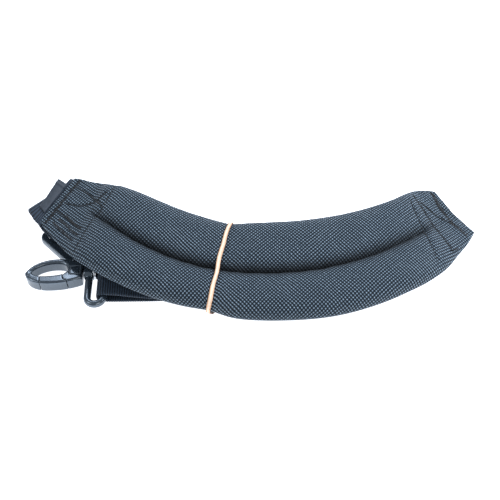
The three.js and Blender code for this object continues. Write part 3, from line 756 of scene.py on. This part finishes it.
def stitch_tree(material):
    """Geometry nodes that set stitches along each line of a path."""
    tree = bpy.data.node_groups.new("Stitch row", "GeometryNodeTree")
    face = tree.interface
    face.new_socket("Path", in_out="INPUT", socket_type="NodeSocketGeometry")
    for name in ("Pitch", "Stitch length", "Thread thickness", "Slant", "Alternation"):
        face.new_socket(name, in_out="INPUT", socket_type="NodeSocketFloat")
    face.new_socket("Stitches", in_out="OUTPUT", socket_type="NodeSocketGeometry")
    given = add(tree, "NodeGroupInput").outputs
    curve = add(tree, "GeometryNodeMeshToCurve", {"Mesh": given["Path"]})
    spaced = add(
        tree, "GeometryNodeResampleCurve", {"Curve": curve, "Length": given["Pitch"]},
        mode="LENGTH",
    )
    number = add(tree, "GeometryNodeInputIndex")
    odd = add(tree, MATH, {0: number, 1: 2.0}, operation="MODULO")
    swing = add(tree, MATH, {0: odd, 1: given["Alternation"]}, operation="MULTIPLY")
    side = add(tree, MATH, {0: swing, 1: -2.0, 2: 1.0}, operation="MULTIPLY_ADD")
    slant = add(tree, MATH, {0: side, 1: given["Slant"]}, operation="MULTIPLY")
    tangent = add(tree, "GeometryNodeInputTangent")
    pointed = add(
        tree, "ShaderNodeVectorRotate", {"Vector": tangent, "Angle": slant}, rotation_type="Z_AXIS",
    )
    turned = add(tree, "FunctionNodeAlignRotationToVector", {"Vector": pointed}, axis="X")
    bead = add(tree, "GeometryNodeMeshUVSphere", {"Segments": 8, "Rings": 6, "Radius": 0.5})
    shape = add(tree, "ShaderNodeCombineXYZ", {
        0: given["Stitch length"], 1: given["Thread thickness"], 2: given["Thread thickness"],
    })
    stitches = add(tree, "GeometryNodeInstanceOnPoints", {
        "Points": spaced, "Instance": bead, "Rotation": turned, "Scale": shape,
    })
    real = add(tree, "GeometryNodeRealizeInstances", {0: stitches})
    smooth = add(tree, "GeometryNodeSetShadeSmooth", {0: real})
    set_material = add(tree, "GeometryNodeSetMaterial", {"Geometry": smooth, "Material": material})
    add(tree, "NodeGroupOutput", {0: set_material})
    return tree


def grown(mesh, tree, amounts):
    """The plain mesh that a geometry tree grows from a mesh, with the named amounts."""
    holder = link("holder", mesh)
    modifier = holder.modifiers.new("Grow", "NODES")
    modifier.node_group = tree
    sockets = {
        item.name: item.identifier for item in tree.interface.items_tree
        if item.item_type == "SOCKET" and item.in_out == "INPUT"
    }
    for name, amount in amounts.items():
        modifier[sockets[name]] = amount
    return evaluated_mesh(holder)


def thread_mesh(name, lines, size):
    """Round threads along lines of places, with closed ends."""
    made = bpy.data.curves.new(name, "CURVE")
    made.dimensions = "3D"
    made.bevel_depth = size / 2
    made.bevel_resolution = 2
    made.use_fill_caps = True
    for line in lines:
        spline = made.splines.new("POLY")
        spline.points.add(len(line) - 1)
        for point, spot in zip(spline.points, line):
            point.co = (*spot, 1)
    return evaluated_mesh(link(name, made))


class NECKSTRAP_OT_pad(bpy.types.Operator):
    """Builds the stuffed pad of two rolls with its flat sewn tabs"""

    bl_idname = "neck_strap.pad"
    bl_label = "Pad"

    def execute(self, context):
        rings, flats, painted_shades = pad_rings(per_span=14, per_roll=40)
        mesh = lofted("pad_cloth", rings, flats, spread={PAINTED_SEAM_SHADE: painted_shades})
        piece = finished("pad_cloth", mesh, ballistic_nylon(), "root", "pad_cloth", "neck_pad")
        return {"FINISHED"}


class NECKSTRAP_OT_stitching(bpy.types.Operator):
    """Sews the tabs and the ends of the pad, and leaves two loose thread ends"""

    bl_idname = "neck_strap.stitching"
    bl_label = "Stitching"

    def execute(self, context):
        pad = bpy.data.objects.get("pad_cloth")
        if pad is None:
            raise RuntimeError("build the pad before its stitching")
        own = settings().pad
        below = BVHTree.FromObject(pad, bpy.context.evaluated_depsgraph_get())
        dark = sewing_thread("polyester_thread_dark", own.thread)
        tree = stitch_tree(dark)
        lift = 0.25 * own.thread_size / MM
        # Each group's name and lines, stitch pitch and length, slant in degrees, and 1 where
        # every other stitch slants the other way.
        groups = (
            ("tab_lines", (*LEFT_LINES, *RIGHT_LINES), own.stitch_pitch, 1.8 * MM, 0, 0),
            ("roll_seams", (LEFT_ROLL_SEAM, RIGHT_ROLL_SEAM), own.stitch_pitch, 1.7 * MM, 0, 0),
            ("end_zigzags", (LEFT_END, RIGHT_END), 1.15 * MM, 3.4 * MM, 62, 1),
            ("bar_tacks", (*LEFT_TACKS, *RIGHT_TACKS), 1.25 * MM, 2.6 * MM, 118, 0),
        )
        for name, lines, pitch, size, slant, alternation in groups:
            path = path_mesh(name, [laid_on(below, line, lift) for line in lines])
            mesh = grown(path, tree, {
                "Pitch": pitch, "Stitch length": size, "Thread thickness": own.thread_size,
                "Slant": math.radians(slant), "Alternation": float(alternation),
            })
            finished(name, mesh, dark, "root", "pad_cloth")
        loose = (
            ((-108.6, 44.4), (-106.4, 44.9), (-104.2, 43), (-102.4, 43.4), (-100.4, 41.8)),
            ((129.6, -7.2), (131.4, -8.8), (130.6, -10.6), (131.6, -12)),
        )
        light = sewing_thread("polyester_thread_light", own.loose_thread)
        lines = [laid_on(below, line, 0.3) for line in loose]
        mesh = thread_mesh("loose_threads", [line for line in lines if len(line) > 1], 0.3 * MM)
        finished("loose_threads", mesh, light, "root", "pad_cloth")
        return {"FINISHED"}


# ------------------------------------------------------------------ webbing

STRAP_STEPS = 4  # rings to a rib
# Each route's start, first direction, straight length, and its bend's radius and turn.
LEFT_ROUTE = ((-124.4, 34.0), -46.3, 46.0, 70.0, 46.3)
RIGHT_ROUTE = ((-87.33, -25.0), 0.0, 106.3, 80.0, 29.0)
WRAP = 3.4  # radius of a strap's middle round a loop's bar
TURN_STEPS = 12
FAR_BAR_HEIGHT = 8.087  # of the visible loop's bar that the right strap runs round


def route_at(route, along):
    """The plan place and the direction of a route at a distance along it.

    The route's own directions are in degrees, and the one given back is in radians.
    """
    start, heading, straight, radius, bend = route
    angle = math.radians(heading)
    sign = math.copysign(1, bend)
    turned = min(max(along - straight, 0), radius * abs(math.radians(bend))) / radius
    spot = np.array(start) + min(along, straight) * np.array([math.cos(angle), math.sin(angle)])
    side = angle + sign * math.pi / 2
    now = angle + sign * turned
    spot = spot + radius * np.array([math.cos(side), math.sin(side)])
    spot = spot - radius * np.array([
        math.cos(now + sign * math.pi / 2), math.sin(now + sign * math.pi / 2),
    ])
    rest = max(along - straight - radius * abs(math.radians(bend)), 0)
    return spot + rest * np.array([math.cos(now), math.sin(now)]), now


def turn_rows(along, height, radius, side, from_top):
    """Rows of distance, height, skew and shift round a bar or fold across the route."""
    rows = []
    for step in range(TURN_STEPS + 1):
        angle = math.pi * (step / TURN_STEPS - 0.5) * (-1 if from_top else 1)
        rows.append((
            along + side * radius * math.cos(angle), height + radius * math.sin(angle), 0, 0,
        ))
    return rows


def slider_rows(middle, base, way, shift=0):
    """Rows over a slider's first bar, down its slot and on below its other two bars.

    way is 1 or -1, for the direction along the route, and shift moves the strap sideways.
    """
    over, under = base + 5.7, base + 1.2
    return [
        (middle - way * 16, over, 0, shift),
        (middle - way * 10.5, over, 0, shift),
        (middle - way * 6.5, (over + under) / 2, 0, shift),
        (middle - way * 2.5, under, 0, shift),
        (middle, under, 0, shift),
        (middle + way * 16, under, 0, shift),
    ]


def level(*pairs):
    """Rows of distance and height with no skew and no shift."""
    return [(along, height, 0, 0) for along, height in pairs]


# One row a place along each strap, from the pad's tab: the distance along its route, the
# height of its middle, how far its width is skewed in degrees and how far it is shifted.
LEFT_STRAP = [
    (10, 15.2, 19, -3.2), (4.5, 15, 19, -3.2), (3.4, 14.9, 12, -2.6),
    *turn_rows(2, 12.7, 2, -1, True), *level((6.5, 9.6)),
    *slider_rows(29, 0, 1, -0.4),
    *level(
        (60, 0.85), (72, 0.85), (86, 0.85), (98, 1.1), (108, 2.05), (134, 2.05), (142, 1.45),
        (154, 1.4), (168, 0.9),
    ),
    *turn_rows(180.6, 4.25, WRAP, 1, False),
    *level(
        (177, 6.6), (173, 5), (169.5, 3.7), (166, 3.35), (142, 3.35), (134, 3.95), (108, 3.95),
        (96, 3),
    ),
]
RIGHT_STRAP = [
    *level((204, 5.2), (214, 4)), *turn_rows(223.6, 2, 1.1, 1, True),
    *level(
        (205, 0.85), (196, 2.8), (187, 6.2), (178, 8.7), (166, 9.2), (156, 9.3), (146, 9.4),
        (136, 9.6), (126, 9.8), (118, 10.1),
    ),
    *slider_rows(95, 4.55, -1),
    *level((74, 6), (50, 6), (27, 5), (10, FAR_BAR_HEIGHT - WRAP)),
    *turn_rows(0, FAR_BAR_HEIGHT, WRAP, -1, False),
    *level((8, FAR_BAR_HEIGHT + 2.8), (18, 9), (29, 7.4), (50, 7.9), (73, 7.9)),
]


def ribbon_section(half_width, half_thickness, flats):
    """Across and up places of a flat ribbon's outline with round selvedges, in order."""
    face = np.linspace(-1, 1, flats) * (half_width - half_thickness)
    turns = np.radians([60, 30, 0, -30, -60])
    top = [(across, half_thickness) for across in face]
    bottom = [(across, -half_thickness) for across in face[::-1]]
    right = [
        (face[-1] + half_thickness * math.cos(turn), half_thickness * math.sin(turn))
        for turn in turns
    ]
    left = [(-across, -up) for across, up in right]
    return np.array([*top, *right, *bottom, *left])


def strap_mesh(name, route, rows):
    """A strap along its rows, with rings that fall in step with the ribs."""
    own = settings().webbing
    width, thickness = own.width / MM, own.thickness / MM
    fine = []
    for here, there in zip(np.array(rows[:-1], float), np.array(rows[1:], float)):
        parts = max(1, int(abs(there[0] - here[0]) / 2))
        fine += [here + (there - here) * part / parts for part in range(parts)]
    fine.append(rows[-1])
    path = []
    for along, height, skew, shift in fine:
        spot, angle = route_at(route, along)
        square = angle + math.pi / 2
        spot = spot + shift * np.array([math.cos(square), math.sin(square)])
        path.append((*spot, height, angle, math.radians(skew)))
    path = np.array(path)
    reach = distances_along(path[:, :3])
    step = own.rib_pitch / MM / STRAP_STEPS
    spots = np.arange(0, reach[-1], step)
    even = np.stack([np.interp(spots, reach, column) for column in path.T], 1)
    even = softened(even, 0.8 / step)
    centres = even[:, :3]
    across_angle = even[:, 3] + math.pi / 2 + even[:, 4]
    across = np.column_stack([np.cos(across_angle), np.sin(across_angle), np.zeros(len(even))])
    along = np.gradient(centres, axis=0)
    face = np.cross(along, across)
    face /= np.linalg.norm(face, axis=1)[:, None]
    stretch = 1 / np.cos(even[:, 4])
    section = ribbon_section(width / 2, thickness / 2, 9)
    rings = (
        centres[:, None]
        + section[None, :, :1] * stretch[:, None, None] * across[:, None]
        + section[None, :, 1:] * face[:, None]
    )
    girth = distances_along(np.vstack([section, section[:1]]))
    flats = np.stack(np.broadcast_arrays(spots[:, None], girth[None]), 2) * MM
    return lofted(name, rings, flats)


def rib_tree(material):
    """Geometry nodes that raise ribs straight across a strap."""
    tree = bpy.data.node_groups.new("Webbing ribs", "GeometryNodeTree")
    face = tree.interface
    face.new_socket("Strap", in_out="INPUT", socket_type="NodeSocketGeometry")
    for name in ("Rib pitch", "Rib depth"):
        face.new_socket(name, in_out="INPUT", socket_type="NodeSocketFloat")
    face.new_socket("Ribbed strap", in_out="OUTPUT", socket_type="NodeSocketGeometry")
    given = add(tree, "NodeGroupInput").outputs
    flat = add(
        tree, "GeometryNodeInputNamedAttribute", {"Name": CLOTH_UV}, data_type="FLOAT_VECTOR"
    )
    along = add(tree, "ShaderNodeSeparateXYZ", {0: flat}).outputs[0]
    count = add(tree, MATH, {0: along, 1: given["Rib pitch"]}, operation="DIVIDE")
    turn = add(tree, MATH, {0: count, 1: math.tau}, operation="MULTIPLY")
    wave = add(tree, MATH, {0: turn}, operation="SINE")
    rise = add(tree, MATH, {0: wave, 1: given["Rib depth"]}, operation="MULTIPLY")
    normal = add(tree, "GeometryNodeInputNormal")
    shift = add(tree, "ShaderNodeVectorMath", {0: normal, "Scale": rise}, operation="SCALE")
    moved = add(tree, "GeometryNodeSetPosition", {"Geometry": given["Strap"], "Offset": shift})
    real = add(tree, "GeometryNodeRealizeInstances", {0: moved})
    done = add(tree, "GeometryNodeSetMaterial", {"Geometry": real, "Material": material})
    add(tree, "NodeGroupOutput", {0: done})
    return tree


class NECKSTRAP_OT_webbing(bpy.types.Operator):
    """Builds the left and the right strap with their woven ribs"""

    bl_idname = "neck_strap.webbing"
    bl_label = "Webbing"

    def execute(self, context):
        own = settings().webbing
        cloth = nylon_webbing()
        tree = rib_tree(cloth)
        straps = (
            ("strap_left", LEFT_ROUTE, LEFT_STRAP, "webbing_left"),
            ("strap_right", RIGHT_ROUTE, RIGHT_STRAP, "webbing_right"),
        )
        for name, route, rows, node in straps:
            plain = strap_mesh(name, route, rows)
            mesh = grown(plain, tree, {"Rib pitch": own.rib_pitch, "Rib depth": own.rib_depth})
            finished(name, mesh, cloth, "root", "webbing", node)
        return {"FINISHED"}


# ------------------------------------------------------------------ hooks, loops, sliders


def moulded(node, voxel, rounds):
    """A copy of a node as one smooth skin, with its edges rounded as moulding leaves them."""
    mesh = frame["nodes"][node].data.copy()
    clean(mesh, 1e-6)
    holder = link("holder", mesh)
    skin = holder.modifiers.new("Skin", "REMESH")
    skin.mode = "VOXEL"
    skin.voxel_size = voxel
    skin.use_smooth_shade = True
    soften = holder.modifiers.new("Soften", "SMOOTH")
    soften.factor = 0.5
    soften.iterations = rounds
    return evaluated_mesh(holder)


def hook_place():
    """Turns the hook's own places, in millimetres, into metres in the shared frame."""
    turned = Matrix.Rotation(-HOOK_PITCH, 4, "Y")
    return Matrix.Translation(place(*HOOK_MIDDLE)) @ turned @ Matrix.Scale(MM, 4)


def engrave(mesh, lines, width, depth):
    """Presses grooves into the upper face of a hook piece, along lines in its own frame.

    The upper face is what lies more than UPPER_FACE above the hook's middle.
    """
    own = hook_place().inverted()
    there = np.array([own @ vertex.co for vertex in mesh.vertices])
    near = np.full(len(there), 1e9)
    for line in lines:
        near = np.minimum(near, distance_to(there[:, :2], line))
    press = depth * np.exp(-(near / width) ** 2) * np.clip((there[:, 2] - UPPER_FACE) / 1.5, 0, 1)
    back = hook_place()
    for vertex, spot, down in zip(mesh.vertices, there, press):
        if down > 0.002:
            vertex.co = back @ Vector((spot[0], spot[1], spot[2] - down))


# Lines pressed into the hook's body, in its own plane.
PANEL_LINE = ((-11.6, -2.6), (-11.6, 3.0), (-5.4, 3.4), (-5.4, -3.0), (-11.6, -2.6))
UPPER_FACE = 2.0
NOSE_SEAM = ((-36.6, -2.0), (-34.5, 0.4))


class NECKSTRAP_OT_snap_hook(bpy.types.Operator):
    """Builds the swivel snap hook: its body, its sprung gate, its post and its loop"""

    bl_idname = "neck_strap.snap_hook"
    bl_label = "Snap hook"

    def execute(self, context):
        plastic = moulded_acetal()
        body = moulded("hook_body", 0.26 * MM, 5)
        engrave(body, (PANEL_LINE, NOSE_SEAM), 0.32, 0.35)
        finished("hook_shell", body, plastic, "hook", "black_plastic", "hook_body")
        gate = moulded("hook_gate", 0.24 * MM, 4)
        finished("hook_arm", gate, plastic, "gate", "black_plastic", "hook_gate")
        loop = moulded("hook_loop", 0.3 * MM, 4)
        finished("strap_loop", loop, plastic, "root", "black_plastic", "hook_loop")
        post = moulded("swivel_post", 0.16 * MM, 3)
        finished("swivel_pin", post, turned_steel(), "hook", "steel", "swivel_post")
        return {"FINISHED"}


class NECKSTRAP_OT_sliders(bpy.types.Operator):
    """Builds the two strap sliders and the plain hook below the pad"""

    bl_idname = "neck_strap.sliders"
    bl_label = "Sliders and lower hook"

    def execute(self, context):
        plastic = moulded_acetal()
        for name, node, voxel in (
            ("strap_slider_left", "slider_left", 0.36 * MM),
            ("strap_slider_right", "slider_right", 0.36 * MM),
            ("lower_hook", "hidden_hook", 0.34 * MM),
        ):
            mesh = moulded(node, voxel, 3)
            finished(name, mesh, plastic, "root", "black_plastic", node)
        return {"FINISHED"}


# ------------------------------------------------------------------ label and band

LABEL_SEWN = ((-115.1, 40.0), (-127.2, 16.3))  # the side that is caught in the tab's end
LABEL_FREE = ((-121.2, 45.5), (-130.9, 22.2))
LABEL_HEIGHT = 16.55
LABEL_THICKNESS = 0.8

# The band's outline where it goes round the pad: distance outward from the furrow, height.
BAND_OUTLINE = (
    (-38.1, 18.4), (-37.7, 20.4), (-36.5, 22.5), (-34.4, 23.7), (-30.2, 24.9), (-25, 25.4),
    (-18.7, 25.6), (-11, 25.5), (-4.5, 25), (0, 24.8), (4, 25), (8.5, 25.5), (14, 25.6),
    (18.5, 25.4), (22.4, 24.8), (25.4, 23.6), (27.3, 22.3), (28.5, 20.4), (28.7, 18.2),
    (27.8, 15.4), (24, 9.6), (20, 4.6), (15, 1.2), (11, 0.6), (0, 0.6), (-16, 0.6), (-28, 0.6),
    (-34, 0.6), (-36.8, 1.6), (-38, 7), (-38.3, 13),
)


class NECKSTRAP_OT_label(bpy.types.Operator):
    """Builds the bare cloth label that is sewn into the left end"""

    bl_idname = "neck_strap.label"
    bl_label = "Label"

    def execute(self, context):
        sewn, free = np.array(LABEL_SEWN), np.array(LABEL_FREE)
        shares = np.linspace(0, 1, 70)
        near = sewn[0] + shares[:, None] * (sewn[1] - sewn[0])
        far = free[0] + shares[:, None] * (free[1] - free[0])
        ends = rounded_off(np.minimum(shares, 1 - shares) * 26, 0.5)
        rings, flats = [], []
        for share, inside, outside, full in zip(shares, near, far, ends):
            half = np.linalg.norm(outside - inside) / 2
            section = ribbon_section(half, LABEL_THICKNESS / 2, 13)
            way = (outside - inside) / (2 * half)
            plan = (inside + outside) / 2 + section[:, :1] * way
            out = (section[:, 0] / half + 1) / 2
            lift = 0.28 * np.sin(5.2 * share + 0.8) * out - 0.7 * out ** 2
            lift += 0.55 * math.exp(-((share - 0.14) / 0.035) ** 2)
            height = LABEL_HEIGHT + lift + section[:, 1] * full
            rings.append(np.column_stack([plan, height]))
            across = np.append(section[:, 0], section[0, 0])
            flats.append(np.column_stack([np.full(len(across), share * 26), across]) * MM)
        mesh = lofted("end_label_cloth", np.array(rings), np.array(flats))
        finished("end_label_cloth", mesh, label_satin(), "root", "label_cloth", "end_label")
        return {"FINISHED"}


def band_section(half_width, half_thickness):
    """A band's outline with a shallow groove down the middle of each face."""
    across = np.linspace(-1, 1, 11)
    hollow = 0.22 * np.exp(-(across / 0.22) ** 2)
    full = np.sqrt(np.clip(1 - np.abs(across) ** 5, 0.12, 1))
    top = [(x * half_width, half_thickness * (f - h)) for x, f, h in zip(across, full, hollow)]
    return np.array([*top, *[(-x, -up) for x, up in top]])


def round_curve(points, parts):
    """A smooth closed curve through points, as a line of many points."""
    count = len(points)
    line = []
    for index in range(count):
        a, b, c, d = (np.array(points[(index + step) % count], float) for step in (-1, 0, 1, 2))
        line += [between(a, b, c, d, share) for share in np.arange(parts) / parts]
    return np.array(line)


class NECKSTRAP_OT_band(bpy.types.Operator):
    """Stretches the rubber band round the bundle"""

    bl_idname = "neck_strap.band"
    bl_label = "Rubber band"

    def execute(self, context):
        own = settings().trim
        outline = round_curve(BAND_OUTLINE, 12)
        turned = math.radians(BAND_ANGLE)
        outward = np.array([math.sin(turned), -math.cos(turned)])
        plan = PAD_CENTRE + (PAD_RADIUS + outline[:, :1]) * outward
        line, spots = evenly(np.column_stack([plan, outline[:, 1]]), 0.6, closed=True)
        along_pad = np.array([-outward[1], outward[0], 0.0])
        tangent = np.roll(line, -1, 0) - np.roll(line, 1, 0)
        tangent /= np.linalg.norm(tangent, axis=1)[:, None]
        face = np.cross(tangent, along_pad)
        section = band_section(own.band_width / MM / 2, own.band_thickness / MM / 2)
        total = spots[-1]
        rings = []
        for spot, centre, normal in zip(spots, line, face):
            around = math.tau * spot / total
            twist = math.radians(5 * math.sin(2 * around + 0.6) + 3 * math.sin(7 * around))
            drift = 0.35 * math.sin(3 * around + 1.2) + 0.2 * math.sin(8 * around)
            across = math.cos(twist) * along_pad + math.sin(twist) * normal
            up = -math.sin(twist) * along_pad + math.cos(twist) * normal
            size = 1 + 0.06 * math.sin(5 * around + 2)
            middle = centre + drift * along_pad
            rings.append(middle + size * section[:, :1] * across + section[:, 1:] * up)
        across = np.append(section[:, 0], section[0, 0])
        flats = [np.column_stack([np.full(len(across), spot), across]) * MM for spot in spots]
        flats.append(np.column_stack([np.full(len(across), total), across]) * MM)
        mesh = lofted("band_rubber", np.array(rings), np.array(flats), closed=True)
        finished("band_rubber", mesh, natural_rubber(), "root", "rubber", "rubber_band")
        return {"FINISHED"}


# ------------------------------------------------------------------ stage


# Each light's name, place, aim and size in metres, power in watts, and colour.
SOFTBOXES = (
    ("softbox_back", (0.1, 1.0, 1.15), (0, 0, 0), (1.3, 0.6), 14, "#eaf2ff"),
    ("softbox_left", (-1.1, -0.2, 0.9), (0, 0, 0), (0.5, 0.7), 5, "#f6faff"),
    ("softbox_right", (0.75, 0.1, 0.55), (0.12, 0, 0), (0.4, 0.4), 8, "#eef5ff"),
    ("softbox_front", (0.5, -1.3, 1.2), (0, 0, 0), (0.9, 0.5), 4, "#fffaf4"),
)
FLOOR_REACH = 2.5  # from the middle to each side, in metres


def softbox(name, spot, aim, size, power, tint):
    """An area light of that width and height, turned to face its aim."""
    light = bpy.data.lights.new(name, "AREA")
    light.shape = "RECTANGLE"
    light.size, light.size_y = size
    light.energy = power
    light.color = linear(tint)[:3]
    made = bpy.data.objects.new(name, light)
    made.location = spot
    made.rotation_euler = (Vector(aim) - Vector(spot)).to_track_quat("-Z", "Y").to_euler()
    bpy.context.scene.collection.objects.link(made)


class NECKSTRAP_OT_stage(bpy.types.Operator):
    """Sets the floor, the soft lights and the camera"""

    bl_idname = "neck_strap.stage"
    bl_label = "Stage"

    def execute(self, context):
        own = settings().stage
        mesh = bpy.data.meshes.new("floor")
        corners = [
            (right * FLOOR_REACH, back * FLOOR_REACH, 0)
            for right, back in ((-1, -1), (1, -1), (1, 1), (-1, 1))
        ]
        mesh.from_pydata(corners, [], [(0, 1, 2, 3)])
        mesh.materials.append(pale_floor())
        link("floor", mesh)

        world = bpy.data.worlds.new("studio")
        world.use_nodes = True
        world.node_tree.nodes.clear()
        sky = add(world.node_tree, "ShaderNodeBackground", {
            "Color": linear("#eef4fc"), "Strength": 0.5,
        })
        add(world.node_tree, "ShaderNodeOutputWorld", {"Surface": sky})
        bpy.context.scene.world = world
        for light in SOFTBOXES:
            softbox(*light)

        lens = bpy.data.cameras.new("camera")
        lens.sensor_width = 36
        lens.lens = own.lens
        lens.clip_start, lens.clip_end = 0.01, 20
        camera = bpy.data.objects.new("camera", lens)
        back = own.camera_distance / MM
        camera.location = place(
            0, -back * math.cos(own.camera_elevation), back * math.sin(own.camera_elevation)
        )
        camera.rotation_euler = (math.pi / 2 - own.camera_elevation, 0, 0)
        bpy.context.scene.collection.objects.link(camera)
        bpy.context.scene.camera = camera
        view = bpy.context.scene.view_settings
        view.view_transform = "Standard"
        view.look = "None"
        view.exposure = 0.0
        return {"FINISHED"}


# ------------------------------------------------------------------ panel and running

PIECES = (
    NECKSTRAP_OT_pad, NECKSTRAP_OT_stitching, NECKSTRAP_OT_webbing, NECKSTRAP_OT_sliders,
    NECKSTRAP_OT_snap_hook, NECKSTRAP_OT_label, NECKSTRAP_OT_band, NECKSTRAP_OT_stage,
)


class NECKSTRAP_PT_panel(bpy.types.Panel):
    """Lists the pieces and their settings"""

    bl_idname = "NECKSTRAP_PT_panel"
    bl_label = "Neck strap"
    bl_space_type = "VIEW_3D"
    bl_region_type = "UI"
    bl_category = "Neck strap"

    def draw(self, context):
        for piece in PIECES:
            self.layout.operator(piece.bl_idname)
        for group in ("pad", "webbing", "hardware", "trim", "stage"):
            box = self.layout.box()
            box.label(text=group.capitalize())
            own = getattr(context.scene.neck_strap, group)
            for name in own.bl_rna.properties.keys():
                if name not in ("rna_type", "name"):
                    box.prop(own, name)


CLASSES = (
    PadSettings, WebbingSettings, HardwareSettings, TrimSettings, StageSettings,
    NeckStrapSettings, *PIECES, NECKSTRAP_PT_panel,
)


def register():
    for made in CLASSES:
        bpy.utils.register_class(made)
    bpy.types.Scene.neck_strap = bpy.props.PointerProperty(type=NeckStrapSettings)


def unregister():
    del bpy.types.Scene.neck_strap
    for made in reversed(CLASSES):
        bpy.utils.unregister_class(made)


def main():
    register()
    for piece in PIECES:
        group, name = piece.bl_idname.split(".")
        getattr(getattr(bpy.ops, group), name)()


if __name__ == "__main__":
    main()
